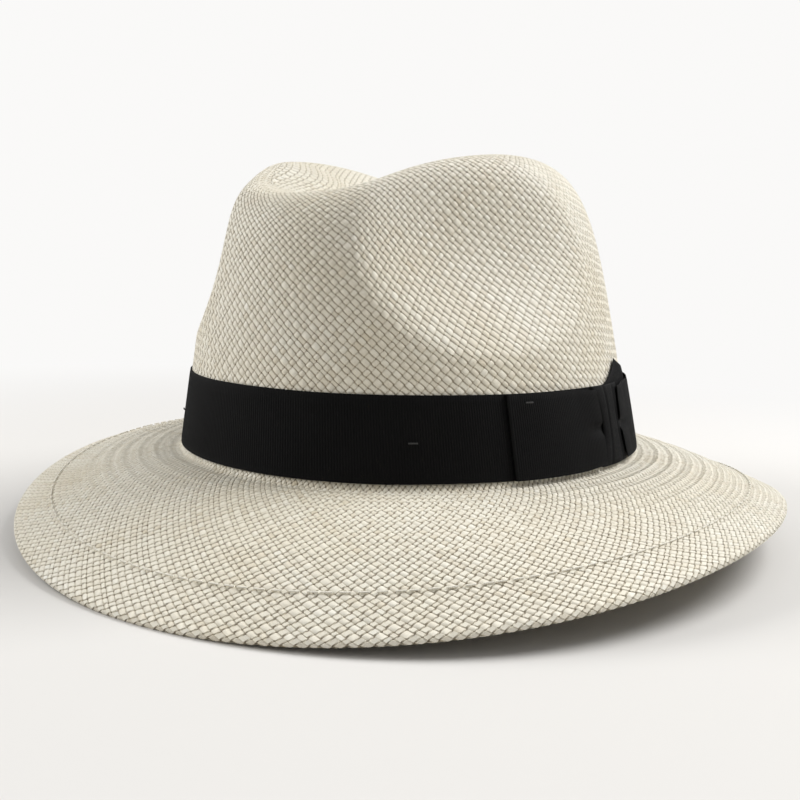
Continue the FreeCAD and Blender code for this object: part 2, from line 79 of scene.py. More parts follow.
FALL_AHEAD = 0.63
BAND_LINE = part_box("brim")[1].z - COLLAR
TIP_EDGE = 0.80  # share of the crown's width where the tip's weave meets the wall's
WEAVE_START = 0.023  # the woven wall begins here, behind the top of the ribbon
STRAW_WANDER = 0.17  # of a cell, how far a straw strays from its even place
CREASE_ANGLE = 38  # degrees, past which an edge stays sharp
chance = np.random.default_rng(7)


def smooth(x, low, high):
    u = np.clip((x - low) / (high - low), 0, 1)
    return u * u * (3 - 2 * u)


def crown_form(turn, climb):
    """Outer face of the blocked crown; turn runs from the front towards the bow."""
    around = np.cos(climb) ** (2 / SHOULDER_ROUND)
    rise = np.sin(climb) ** (2 / SHOULDER_RISE)
    x = HEAD_WIDE / 2 * around * np.sin(turn) * (1 - SIDE_TAPER * rise)
    y = -HEAD_LONG / 2 * around * np.cos(turn) * (1 - END_TAPER * rise) - TIP_LEAN * rise
    z = CROWN_HEIGHT * rise
    across = np.exp(-np.abs(x / VALLEY_HALF) ** VALLEY_WALL)
    behind = np.exp(-(np.maximum(y, 0) / VALLEY_TAIL) ** VALLEY_FADE)
    z = z - VALLEY_DEPTH * across * behind * rise ** 5
    z = z - FRONT_FALL * smooth(-2 * y / HEAD_LONG, FALL_BEHIND, FALL_AHEAD) * rise ** 3
    off = np.abs(np.arctan2(np.sin(turn), np.cos(turn))) - PINCH_TURN
    reach = np.where(off < 0, PINCH_FRONT, PINCH_BACK)
    far = (off / reach) ** 2 + ((z - PINCH_LEVEL) / PINCH_HALF) ** 2
    push = PINCH_DEPTH * np.maximum(1 - far, 0) ** PINCH_EDGE * smooth(around, TIP_FLAT, TIP_FREE)
    x = x - np.sign(np.sin(turn)) * push
    return np.stack([x, y + PINCH_LEAN * push, z + BAND_LINE], -1)


def profile_table():
    """Climb against the length of the wall, from the band line up the side."""
    low = np.linspace(0, 0.95, 1200)
    climbs = np.arcsin(low ** (SHOULDER_RISE / 2))
    wide = math.cos(climbs[-1]) ** (2 / SHOULDER_ROUND)
    high = np.arccos(np.linspace(wide, 0.05, 1200) ** (SHOULDER_ROUND / 2))
    climbs = np.concatenate([climbs, high[1:]])
    around = np.cos(climbs) ** (2 / SHOULDER_ROUND)
    rise = np.sin(climbs) ** (2 / SHOULDER_RISE)
    side = np.stack([HEAD_WIDE / 2 * around * (1 - SIDE_TAPER * rise), CROWN_HEIGHT * rise], -1)
    run = np.concatenate([[0], np.cumsum(np.linalg.norm(np.diff(side, axis=0), axis=1))])
    return run, climbs, around


WALL_RUN, WALL_CLIMB, WALL_AROUND = profile_table()
WALL_TOP = float(np.interp(-TIP_EDGE, -WALL_AROUND, WALL_RUN))


def unit(vector):
    return vector / np.linalg.norm(vector, axis=-1, keepdims=True)


def with_normal(form, a, b, da, db):
    """Points of a form and its normals, away from a place low inside the head."""
    point = form(a, b)
    normal = unit(np.cross(form(a + da, b) - form(a - da, b), form(a, b + db) - form(a, b - db)))
    out = np.sum(normal * (point - np.array([0, 0, -HEAD_LONG])), -1, keepdims=True)
    return point, normal * np.sign(out)


def wall_face(turn, run):
    """Outer face of the wall, by turn and by the length up the wall."""
    def form(a, b):
        return crown_form(a, np.interp(b, WALL_RUN, WALL_CLIMB))
    return with_normal(form, turn, run, 1e-3, 1e-4)


def tip_face(x, y):
    """Outer face of the tip, by its plan, where the tip is a flat oval."""
    def form(a, b):
        a = a / (HEAD_WIDE / 2 * (1 - SIDE_TAPER))
        b = b / (HEAD_LONG / 2 * (1 - END_TAPER))
        around = np.clip(np.hypot(a, b), 1e-4, 1)
        return crown_form(np.arctan2(a, -b), np.arccos(around ** (SHOULDER_ROUND / 2)))
    return with_normal(form, x, y, 1e-4, 1e-4)


def inside_of(face):
    """The inner face of the straw under an outer face."""
    def lining(a, b):
        point, normal = face(a, b)
        return point - normal * STRAW, -normal
    return lining


def spiral_cells(count, slope, low, high):
    """Cells between two sets of straws that spiral opposite ways round the hat.

    count and slope are each set's straws in one turn and per unit of run.  The answer is
    each cell's corners as turn and run, its parity and its two straws."""
    determinant = count[0] * slope[1] + count[1] * slope[0]
    most = [int(count[0] + slope[0] * high) + 2, int(count[1] - slope[1] * low) + 2]
    least = [int(slope[0] * low) - 2, int(-slope[1] * high) - 2]
    p, q = np.meshgrid(np.arange(least[0], most[0]), np.arange(least[1], most[1]))
    p, q = p.ravel(), q.ravel()
    middle = (slope[1] * (p + 0.5) + slope[0] * (q + 0.5)) / determinant
    height = (count[1] * (p + 0.5) - count[0] * (q + 0.5)) / determinant
    spare = 1.5 / min(slope)
    keep = (middle >= 0) & (middle < 1) & (height > low - spare) & (height < high + spare)
    p, q = p[keep], q[keep]
    wander = [chance.uniform(-STRAW_WANDER, STRAW_WANDER, n) for n in count]
    corners = []
    for i, j in ((0, 0), (1, 0), (1, 1), (0, 1)):
        a = p + i + wander[0][(p + i) % count[0]]
        b = q + j + wander[1][(q + j) % count[1]]
        turn = 2 * math.pi * (slope[1] * a + slope[0] * b) / determinant
        run = np.clip((count[1] * a - count[0] * b) / determinant, low, high)
        corners.append(np.stack([turn, run], -1))
    corners = np.stack(corners, 1)
    alive = np.ptp(corners[..., 1], axis=1) > 1e-3 / max(slope)
    return corners[alive], ((p + q) % 2)[alive], (p % count[0])[alive], (q % count[1])[alive]


def square_cells(pitch, turned, long_half, wide_half, share):
    """Cells of a square weave turned about the middle and trimmed to an oval."""
    reach = int(long_half / min(pitch)) + 2
    i, j = np.meshgrid(np.arange(-reach, reach), np.arange(-reach, reach))
    i, j = i.ravel(), j.ravel()
    c, s = math.cos(turned), math.sin(turned)
    wander = chance.uniform(-STRAW_WANDER, STRAW_WANDER, (2, 2 * reach + 2))
    corners = []
    for di, dj in ((0, 0), (1, 0), (1, 1), (0, 1)):
        a = (i + di + wander[0][i + di + reach]) * pitch[0]
        b = (j + dj + wander[1][j + dj + reach]) * pitch[1]
        corners.append(np.stack([a * c - b * s, a * s + b * c], -1))
    corners = np.stack(corners, 1)
    around = np.hypot(corners[..., 0] / wide_half, corners[..., 1] / long_half)
    inside = (around < share - 1e-6).any(1)
    corners = corners * np.minimum(1, share / np.maximum(around, 1e-9))[..., None]
    return corners[inside], ((i + j) % 2)[inside], (i + reach)[inside], (j + reach)[inside]


# one straw where it passes over another: a grid whose middle is raised and whose sides
# are steeper than its ends, kept as a template that is laid into every cell.  Faces that
# are seen only from inside or below take the flatter template of four faces.
bpy.ops.mesh.primitive_grid_add(x_subdivisions=3, y_subdivisions=3, size=1, location=(0.5, 0.5, 0))
bpy.ops.object.transform_apply(location=True)
pillow = bpy.context.object
across = np.array([v.co[0] for v in pillow.data.vertices])
along = np.array([v.co[1] for v in pillow.data.vertices])
PILLOW_FACES = np.array([list(p.vertices) for p in pillow.data.polygons])
bpy.data.objects.remove(pillow)
inner = (np.abs(across - 0.5) < 0.4) & (np.abs(along - 0.5) < 0.4)
side = np.where(inner, 0.5 + (across - 0.5) * 2.55, across)
length = np.where(inner, 0.5 + (along - 0.5) * 1.75, along)
PILLOW = np.stack([side, length], -1)
on_side = np.abs(across - 0.5) > 0.4
on_end = np.abs(along - 0.5) > 0.4
PILLOW_HEIGHT = np.where(inner, 0.30, np.where(on_side & on_end, -1.60, np.where(on_side, -0.65, -0.95)))
# painted shade: how dark each point is drawn in the creases between the straws, 0 on the raised middle and
# 1 at the corners
PILLOW_CREASE_SHADE = np.where(inner, 0.0, np.where(on_side & on_end, 1.0, np.where(on_side, 0.80, 0.45)))
FLAT_FACES = np.array([[0, 1, 4, 3], [1, 2, 5, 4], [3, 4, 7, 6], [4, 5, 8, 7]])
FLAT = np.array([[i / 2, j / 2] for j in range(3) for i in range(3)])
FLAT_HEIGHT = np.array([-1.1, -0.7, -1.1, -0.7, 0.35, -0.7, -1.1, -0.7, -1.1])
# the same painted shade in the creases, for the flatter template
FLAT_CREASE_SHADE = np.array([1, 0.55, 1, 0.55, 0, 0.55, 1, 0.55, 1.0])


def new_piece(name, points, faces):
    """A mesh object, selected and active, with everything else deselected."""
    mesh = bpy.data.meshes.new(name)
    mesh.from_pydata(np.asarray(points).tolist(), [], np.asarray(faces).tolist())
    piece = bpy.data.objects.new(name, mesh)
    bpy.context.scene.collection.objects.link(piece)
    bpy.ops.object.select_all(action="DESELECT")
    piece.select_set(True)
    bpy.context.view_layer.objects.active = piece
    return piece


def weld(piece, angle):
    """Merge touching points and shade smooth up to an angle."""
    bpy.ops.object.mode_set(mode="EDIT")
    bpy.ops.mesh.select_all(action="SELECT")
    bpy.ops.mesh.remove_doubles(threshold=2e-6)
    bpy.ops.mesh.dissolve_degenerate(threshold=1e-6)
    bpy.ops.object.mode_set(mode="OBJECT")
    bpy.ops.object.shade_smooth_by_angle(angle=math.radians(angle))
    return piece


def weave(name, cells, face, relief, fine=True):
    """Lay one straw crossing into every cell of a face and weld them into a cloth."""
    corners, parity, left, right = cells
    spots, heights, creases, quads = (
        (PILLOW, PILLOW_HEIGHT, PILLOW_CREASE_SHADE, PILLOW_FACES) if fine
        else (FLAT, FLAT_HEIGHT, FLAT_CREASE_SHADE, FLAT_FACES)
    )
    # known fault: on odd cells this turns the flat template's faces over and, in the fine
    # one, swaps two of the four inner points, so that the faces between them cross.
    # Scaling by the other way's factor, instead of swapping u and v, would cure both.
    u = np.where(parity[:, None] == 0, spots[:, 0], spots[:, 1][None])
    v = np.where(parity[:, None] == 0, spots[:, 1], spots[:, 0][None])
    if fine:
        edge = ~inner
        u = np.where(edge, across, u)
        v = np.where(edge, along, v)
    w = np.stack([(1 - u) * (1 - v), u * (1 - v), u * v, (1 - u) * v], -1)
    place = np.einsum("nkc,ncd->nkd", w, corners)
    point, normal = face(place[..., 0], place[..., 1])
    size = chance.uniform(0.8, 1.2, len(corners))
    lift = np.where(heights > 0, heights * size[:, None], heights) * relief
    point = point + normal * lift[..., None]
    count = len(spots)
    faces = (np.arange(len(corners))[:, None, None] * count + quads[None]).reshape(-1, 4)
    sample = faces[4 if fine else 0]  # one face of the first cell, which may be a sliver
    first = point.reshape(-1, 3)[sample]
    facing = np.cross(first[1] - first[0], first[2] - first[0])
    if np.dot(facing, normal.reshape(-1, 3)[sample[0]]) < 0:
        faces = faces[:, ::-1]
    piece = new_piece(name, point.reshape(-1, 3), faces)
    straws = [chance.normal(0, 1, 4096) for _ in range(2)]
    tone = np.where(parity == 0, straws[0][left], straws[1][right]) * 0.75
    tone = tone + chance.normal(0, 0.55, len(corners))
    layer = piece.data.attributes.new("tone", "FLOAT", "FACE")
    layer.data.foreach_set("value", np.repeat(tone, len(quads)).astype(np.float32))
    # the crease attribute carries the painted shade in the creases between the straws
    layer = piece.data.attributes.new("crease", "FLOAT", "POINT")
    layer.data.foreach_set("value", np.tile(creases, len(corners)).astype(np.float32))
    fibre = np.stack([np.where(parity[:, None] == 0, u, v), np.where(parity[:, None] == 0, v, u)], -1)
    fibre = fibre + chance.uniform(0, 40, (len(corners), 1, 2)).round(1)
    loops = np.zeros(len(piece.data.loops), np.int32)
    piece.data.loops.foreach_get("vertex_index", loops)
    uv = piece.data.uv_layers.new(name="fibre")
    uv.data.foreach_set("uv", fibre.reshape(-1, 2)[loops].astype(np.float32).ravel())
    return weld(piece, CREASE_ANGLE)


def link(tree, *pairs):
    for start, end in pairs:
        tree.links.new(start, end)


def plain_material(name, color, roughness, specular=0.4):
    """A principled material and its node tree."""
    material = bpy.data.materials.new(name)
    material.use_nodes = True
    shader = material.node_tree.nodes["Principled BSDF"]
    shader.inputs["Base Color"].default_value = (*color, 1)
    shader.inputs["Roughness"].default_value = roughness
    shader.inputs["Specular IOR Level"].default_value = specular
    return material, material.node_tree, shader


def add_node(tree, kind, **values):
    """A node with its inputs and settings set by name."""
    node = tree.nodes.new(kind)
    for key, value in values.items():
        if key in node.inputs:
            node.inputs[key].default_value = value
        else:
            setattr(node, key, value)
    return node


def ramp(tree, source, *stops):
    """A colour ramp from (position, colour) stops."""
    node = tree.nodes.new("ShaderNodeValToRGB")
    while len(node.color_ramp.elements) < len(stops):
        node.color_ramp.elements.new(0.5)
    for element, (position, color) in zip(node.color_ramp.elements, stops):
        element.position = position
        element.color = (*color, 1) if len(color) == 3 else (color[0], color[0], color[0], 1)
    tree.links.new(source, node.inputs["Fac"])
    return node.outputs["Color"]


def mix(tree, first, second, factor, blend="MIX"):
    node = tree.nodes.new("ShaderNodeMix")
    node.data_type = "RGBA"
    node.blend_type = blend
    slots = [s for s in node.inputs if s.type == "RGBA"]
    for socket, value in zip(slots, (first, second)):
        if isinstance(value, tuple):
            socket.default_value = (*value, 1)
        else:
            tree.links.new(value, socket)
    if isinstance(factor, float):
        node.inputs["Factor"].default_value = factor
    else:
        tree.links.new(factor, node.inputs["Factor"])
    return [s for s in node.outputs if s.type == "RGBA"][0]


def straw_material():
    """Bleached straw: each straw has its own tone, with fine fibres along it, and painted
    shade darkens it in the creases between the straws."""
    material, tree, shader = plain_material("toquilla_straw", (0.80, 0.74, 0.62), 0.5, 0.35)
    tone = add_node(tree, "ShaderNodeAttribute", attribute_name="tone")
    crease = add_node(tree, "ShaderNodeAttribute", attribute_name="crease")
    spread = add_node(tree, "ShaderNodeMath", operation="MULTIPLY_ADD")
    spread.inputs[1].default_value = 0.16
    spread.inputs[2].default_value = 0.5
    link(tree, (tone.outputs["Fac"], spread.inputs[0]))
    color = ramp(
        tree, spread.outputs[0],
        (0.0, (0.70, 0.64, 0.52)), (0.35, (0.775, 0.735, 0.64)),
        (0.65, (0.82, 0.79, 0.70)), (1.0, (0.87, 0.85, 0.78)),
    )
    place = add_node(tree, "ShaderNodeTexCoord")
    patch = add_node(tree, "ShaderNodeTexNoise", Scale=28.0, Detail=3.0)
    link(tree, (place.outputs["Object"], patch.inputs["Vector"]))
    warm = ramp(tree, patch.outputs["Fac"], (0.35, (1.0, 1.0, 1.0)), (0.7, (0.965, 0.945, 0.90)))
    color = mix(tree, color, warm, 1.0, "MULTIPLY")
    stretch = add_node(tree, "ShaderNodeMapping")
    stretch.inputs["Scale"].default_value = (9.0, 0.9, 1.0)
    uv = add_node(tree, "ShaderNodeUVMap", uv_map="fibre")
    fibre = add_node(tree, "ShaderNodeTexNoise", Scale=1.6, Detail=2.0)
    link(tree, (uv.outputs["UV"], stretch.inputs["Vector"]),
         (stretch.outputs["Vector"], fibre.inputs["Vector"]))
    streak = ramp(tree, fibre.outputs["Fac"], (0.3, (0.93, 0.92, 0.89)), (0.7, (1.0, 1.0, 1.0)))
    color = mix(tree, color, streak, 1.0, "MULTIPLY")
    # painted shade: the straw is drawn darker towards the creases between the straws, nearly brown-black
    # at the cells' corners
    dark = ramp(
        tree, crease.outputs["Fac"],
        (0.10, (1.0, 1.0, 1.0)), (0.6, (0.76, 0.73, 0.67)), (0.95, (0.25, 0.22, 0.18)),
    )
    color = mix(tree, color, dark, 1.0, "MULTIPLY")
    bump = add_node(tree, "ShaderNodeBump", Strength=0.35, Distance=0.0002)
    link(tree, (color, shader.inputs["Base Color"]), (fibre.outputs["Fac"], bump.inputs["Height"]),
         (bump.outputs["Normal"], shader.inputs["Normal"]))
    return material


STRAW_FINISH = straw_material()


def finish_piece(piece, material, slot, *nodes):
    """Give a piece its material, hide the CAD parts that it stands for and hang it on the root body."""
    piece.data.materials.clear()
    piece.data.materials.append(material)
    if nodes:
        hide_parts(*nodes)
    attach(piece, "root")
    return piece


WALL_STRAWS = (184, 158)
WALL_SLOPES = (360.0, 280.0)  # straws crossed per metre up the wall
TIP_PITCH = (0.0018, 0.0021)
TIP_TURNED = math.radians(24)
RELIEF = 0.00020
INSIDE_RELIEF = 0.00018
wall_rise = np.sin(WALL_CLIMB) ** (2 / SHOULDER_RISE)
wall_start = float(np.interp(WEAVE_START / CROWN_HEIGHT, wall_rise, WALL_RUN))
wall_cells = spiral_cells(WALL_STRAWS, WALL_SLOPES, wall_start, WALL_TOP)
tip_oval = (HEAD_LONG / 2 * (1 - END_TAPER), HEAD_WIDE / 2 * (1 - SIDE_TAPER))
tip_cells = square_cells(TIP_PITCH, TIP_TURNED, *tip_oval, TIP_EDGE)
for name, cells, face, relief, fine in (
    ("crown_wall_weave", wall_cells, wall_face, RELIEF, True),
    ("crown_tip_weave", tip_cells, tip_face, RELIEF, True),
    ("crown_inside_wall", wall_cells, inside_of(wall_face), INSIDE_RELIEF, False),
    ("crown_inside_tip", tip_cells, inside_of(tip_face), INSIDE_RELIEF, False),
):
    finish_piece(weave(name, cells, face, relief, fine), STRAW_FINISH, "straw", "crown")


def ring_of(name, turns, rows, face):
    """A plain closed ring of quads over a face, by turns and rows."""
    turn, row = np.meshgrid(np.linspace(0, 2 * math.pi, turns, endpoint=False), rows)
    points = face(turn, row)[0].reshape(-1, 3)
    faces = []
    for j in range(len(rows) - 1):
        for i in range(turns):
            k = (i + 1) % turns
            faces.append([j * turns + i, j * turns + k, (j + 1) * turns + k, (j + 1) * turns + i])
    return new_piece(name, points, faces)


def turn_over():
    """Make all faces of the active piece look the other way."""
    bpy.ops.object.mode_set(mode="EDIT")
    bpy.ops.mesh.select_all(action="SELECT")
    bpy.ops.mesh.flip_normals()
    bpy.ops.object.mode_set(mode="OBJECT")


# the straw behind the band and the sweatband, which nothing shows, is left plain
HIDDEN_TURNS = 128
hidden_rows = np.linspace(1e-4, wall_start, 8)
behind_band = ring_of("crown_wall_behind_band", HIDDEN_TURNS, hidden_rows, wall_face)
finish_piece(weld(behind_band, CREASE_ANGLE), STRAW_FINISH, "straw", "crown")
behind_leather = ring_of("crown_wall_behind_sweatband", HIDDEN_TURNS, hidden_rows, inside_of(wall_face))
turn_over()
finish_piece(weld(behind_leather, CREASE_ANGLE), STRAW_FINISH, "straw", "crown")

# ---------------------------------------------------------------- brim
# The same cloth carried on outwards, ironed flat with a few raised rings beside the
# head, drooping at the front and back; its edge is folded under and sewn as a hem.
BRIM_END = 0.0626
BRIM_SIDE = 0.0580
DROOP_END = math.radians(27.7)
DROOP_SIDE = math.radians(12.4)
DROOP_CURVE = 1.68
BEND = 0.002
HEM = 0.013
HEM_RAMP = 0.0035
RING_PITCH = 0.0064
RING_HEIGHT = 0.00060
RINGS_FULL = 0.026  # the rings fade out between these ways from the head
RINGS_GONE = 0.046
GROOVE_DEPTH = 0.00006
GROOVE_HALF = 0.0009


def brim_width(turn):
    ends = 0.5 + 0.5 * np.cos(2 * turn)
    return BRIM_SIDE + (BRIM_END - BRIM_SIDE) * ends, DROOP_SIDE + (DROOP_END - DROOP_SIDE) * ends


def brim_form(turn, share):
    """Upper face of the brim: share -1 is the band line, 0 the bend, 1 the edge."""
    out = unit(np.stack([np.sin(turn) / HEAD_WIDE, -np.cos(turn) / HEAD_LONG, 0 * turn], -1))
    width, angle = brim_width(turn)
    swing = np.clip(share + 1, 0, 1) * math.pi / 2
    flat = np.clip(share, 0, 2)
    reach = BEND * (1 - np.cos(swing)) + (width * np.cos(angle) - BEND) * flat
    fall = BEND * np.sin(swing) + (width * np.sin(angle) - BEND) * flat ** DROOP_CURVE
    run = width * flat
    sides = 0.25 + 0.75 * np.sin(turn) ** 2
    rings = 0.5 - 0.5 * np.cos(2 * math.pi * run / RING_PITCH)
    rings = rings * sides * smooth(run, 0.001, 0.006) * (1 - smooth(run, RINGS_FULL, RINGS_GONE))
    groove = np.exp(-((width * (1 - flat) - HEM) / GROOVE_HALF) ** 2)
    fall = fall - RING_HEIGHT * rings + GROOVE_DEPTH * groove
    base = np.stack([HEAD_WIDE / 2 * np.sin(turn), -HEAD_LONG / 2 * np.cos(turn), BAND_LINE - fall], -1)
    return base + out * reach[..., None]


def brim_top(turn, share):
    return with_normal(brim_form, turn, share, 1e-3, 2e-3)


def brim_skin(turn, way):
    """The brim's whole skin: over the top, round the edge at 1 to 2, and back under."""
    share = np.where(way < 1, way, np.where(way < 2, 1.0, 3 - way))
    point, normal = brim_top(turn, share)
    width = brim_width(turn)[0]
    folded = 1 - smooth(width * (1 - np.maximum(share, 0)), HEM, HEM + HEM_RAMP)
    thick = (STRAW * (1 + folded))[..., None]
    out = unit(brim_form(turn, share + 1e-3) - brim_form(turn, share - 1e-3))
    swing = (np.clip(way - 1, 0, 1) * math.pi)[..., None]
    facing = unit(np.cos(swing) * normal + np.sin(swing) * out)
    return point - normal * thick / 2 + facing * thick / 2, facing


def skin_table(straws):
    """The way along the skin against the number of straws crossed.  The cells grow with
    the circumference, and their rows lie closer together towards the edge."""
    way = np.linspace(-1, 4, 4000)
    point = brim_skin(np.full_like(way, math.pi / 4), way)[0]
    step = np.linalg.norm(np.diff(point, axis=0), axis=1)
    radius = np.hypot(point[1:, 0], point[1:, 1])
    share = np.clip(np.where(way < 1, way, np.where(way < 2, 1, 3 - way)), 0, 1)[1:]
    crowding = CROWD_INNER + (CROWD_OUTER - CROWD_INNER) * share
    crossed = np.concatenate([[0], np.cumsum(step * crowding * straws / (2 * math.pi * radius))])
    return crossed, way


BRIM_STRAWS = 288
CROWD_INNER = 0.66  # rows of straw for each one round the hat, beside the head
CROWD_OUTER = 1.50  # and at the edge
CROSSED, CROSSED_WAY = skin_table(BRIM_STRAWS)


def brim_face(turn, crossed):
    return brim_skin(turn, np.interp(crossed, CROSSED, CROSSED_WAY))


MIDDLE_RING = 0.56  # share of the width where the upper weave is cut in two pieces
middle_ring, edge_under, hem_under = (
    float(np.interp(way, CROSSED_WAY, CROSSED)) for way in (MIDDLE_RING, 2.0, 2 + HEM / BRIM_END)
)
both = (BRIM_STRAWS, BRIM_STRAWS)
brim_cells = spiral_cells(both, (1.0, 1.0), 0.0, float(CROSSED[-1]))
cell_run = brim_cells[0][..., 1].mean(1)
for name, low, high, relief, fine in (
    ("brim_inner_weave", 0.0, middle_ring, 0.00019, True),
    ("brim_outer_weave", middle_ring, edge_under, 0.00021, True),
    ("brim_hem_weave", edge_under, hem_under, INSIDE_RELIEF, False),
    ("brim_under_weave", hem_under, math.inf, INSIDE_RELIEF, False),
):
    chosen = (cell_run >= low) & (cell_run < high)
    cells = tuple(part[chosen] for part in brim_cells)
    finish_piece(weave(name, cells, brim_face, relief, fine), STRAW_FINISH, "straw", "brim")

# ---------------------------------------------------------------- hem stitching
# One row of straw-coloured thread through the folded edge of the brim.  The stitches are
# the CAD solids as they come; only their material is made here.


def thread_material(name, color):
    """Twisted thread: a fine slanting ply along each stitch, with painted shade in the grooves between the
    plies.
    """
    material, tree, shader = plain_material(name, color, 0.75, 0.25)
    place = add_node(tree, "ShaderNodeTexCoord")
    ply = add_node(tree, "ShaderNodeTexWave", Scale=900.0, Distortion=2.0)
    # painted shade: the thread is drawn darker where the ply's bump is low
    ply_shade = ramp(tree, ply.outputs["Fac"], (0.2, tuple(channel * 0.86 for channel in color)), (0.8, color))
    bump = add_node(tree, "ShaderNodeBump", Strength=0.5, Distance=0.0001)
    link(tree, (place.outputs["Object"], ply.inputs["Vector"]), (ply_shade, shader.inputs["Base Color"]),
         (ply.outputs["Fac"], bump.inputs["Height"]), (bump.outputs["Normal"], shader.inputs["Normal"]))
    return material


def finish_node(name, material):
    """Give a piece that comes from CAD its material."""
    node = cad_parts[name]
    node.data.materials.clear()
    node.data.materials.append(material)


finish_node("hem_stitching", thread_material("straw_thread", (0.82, 0.785, 0.69)))

# ---------------------------------------------------------------- ribbon band
# Black grosgrain, 27 mm wide, with a rib every 0.88 mm; it is cut to the crown's length
# and laid round the wall, and its two ends meet under the knot of the bow.
RIBBON_LOW = 0.0003
RIBBON_WIDTH = 0.0272
RIBBON = 0.0005
RIB_PITCH = 0.00088
RIB_RELIEF = 0.00018
OFF_STRAW = 0.00015  # the back of the ribbon, off the straw
ROWS_PER_RIB = 3
KNOT_FIRST = math.radians(78.0)
KNOT_LAST = math.radians(92.4)
WRAP_TURN = np.linspace(-2 * math.pi, 2 * math.pi, 4001)


def wall_oval(turn, height, off):
    """A place round the wall, at a height above the band line and off the straw."""
    rise = height / CROWN_HEIGHT
    x = (HEAD_WIDE / 2 * (1 - SIDE_TAPER * rise) + off) * np.sin(turn)
    y = -(HEAD_LONG / 2 * (1 - END_TAPER * rise) + off) * np.cos(turn) - TIP_LEAN * rise
    return np.stack([x, y, BAND_LINE + height + 0 * turn], -1)


WRAP_PATH = wall_oval(WRAP_TURN, RIBBON_LOW + RIBBON_WIDTH / 2, 0.001)
WRAP_RUN = np.concatenate([[0], np.cumsum(np.linalg.norm(np.diff(WRAP_PATH, axis=0), axis=1))])
WRAP_RUN = WRAP_RUN - np.interp(0, WRAP_TURN, WRAP_RUN)


def run_at(turn):
    """The length round the hat from the front to a turn."""
    return float(np.interp(turn, WRAP_TURN, WRAP_RUN))


def flat_strip(name, length, width, columns, rows):
    """A flat strip of ribbon on the bench, and its points."""
    bpy.ops.object.select_all(action="DESELECT")
    bpy.ops.mesh.primitive_grid_add(x_subdivisions=columns, y_subdivisions=rows, size=1)
    piece = bpy.context.object
    piece.name = piece.data.name = name
    piece.scale = (length, width, 1)
    piece.location = (length / 2, width / 2, 0)
    bpy.ops.object.transform_apply(location=True, rotation=False, scale=True)
    return piece, points_of(piece)


def points_of(piece):
    points = np.zeros(len(piece.data.vertices) * 3, np.float32)
    piece.data.vertices.foreach_get("co", points)
    return points.reshape(-1, 3).astype(float)


def set_points(piece, points):
    piece.data.vertices.foreach_set("co", np.asarray(points, np.float32).ravel())
    piece.data.update()


def ribs(run, from_edge):
    """Height of the grosgrain's ribs, which die out at the woven edge."""
    edge = smooth(from_edge, 0.0002, 0.0007)
    return RIB_RELIEF * (np.abs(np.sin(math.pi * run / RIB_PITCH)) * edge + 0.35 * (1 - edge))


def mark_flat(piece, points):
    """Keep each point's place on the flat ribbon as the piece's UV map, in ribs."""
    uv = piece.data.uv_layers.get("UVMap") or piece.data.uv_layers.new(name="UVMap")
    uv.name = "flat"
    loops = np.zeros(len(piece.data.loops), np.int32)
    piece.data.loops.foreach_get("vertex_index", loops)
    uv.data.foreach_set("uv", (points[:, :2] / RIB_PITCH)[loops].astype(np.float32).ravel())


def give_thickness(piece, thickness):
    """A wall behind the shaped face, or in front of it where the number is negative."""
    bpy.ops.object.select_all(action="DESELECT")
    piece.select_set(True)
    bpy.context.view_layer.objects.active = piece
    solidify = piece.modifiers.new("wall", "SOLIDIFY")
    solidify.thickness = thickness
    solidify.offset = -1
    bpy.ops.object.modifier_apply(modifier="wall")
    bpy.ops.object.shade_smooth_by_angle(angle=math.radians(50))


def lay_round(piece):
    """Wrap a flat piece round the wall: x is length from the front, y height above the
    band line and z the distance off the straw."""
    points = points_of(piece)
    turn = np.interp(points[:, 0], WRAP_RUN, WRAP_TURN)
    set_points(piece, wall_oval(turn, points[:, 1], points[:, 2]))


def grosgrain_material():
    """Near-black ribbed rayon: dull, with fine threads along the ribs and faint patches."""
    material, tree, shader = plain_material("black_grosgrain", (0.004, 0.004, 0.0042), 0.7, 0.10)
    uv = add_node(tree, "ShaderNodeUVMap", uv_map="flat")
    stretch = add_node(tree, "ShaderNodeMapping")
    stretch.inputs["Scale"].default_value = (1.0, 3.4, 1.0)
    threads = add_node(tree, "ShaderNodeTexWave", bands_direction="Y", Scale=1.0, Distortion=0.6)
    link(tree, (uv.outputs["UV"], stretch.inputs["Vector"]),
         (stretch.outputs["Vector"], threads.inputs["Vector"]))
    place = add_node(tree, "ShaderNodeTexCoord")
    patch = add_node(tree, "ShaderNodeTexNoise", Scale=60.0, Detail=4.0)
    link(tree, (place.outputs["Object"], patch.inputs["Vector"]))
    color = ramp(
        tree, patch.outputs["Fac"],
        (0.3, (0.0034, 0.0034, 0.0037)), (0.75, (0.0052, 0.0052, 0.0055)),
    )
    shade = ramp(tree, threads.outputs["Fac"], (0.0, (0.75, 0.75, 0.75)), (0.6, (1.0, 1.0, 1.0)))
    color = mix(tree, color, shade, 1.0, "MULTIPLY")
    bump = add_node(tree, "ShaderNodeBump", Strength=0.35, Distance=0.00008)
    link(tree, (color, shader.inputs["Base Color"]), (threads.outputs["Fac"], bump.inputs["Height"]),
         (bump.outputs["Normal"], shader.inputs["Normal"]))
    return material


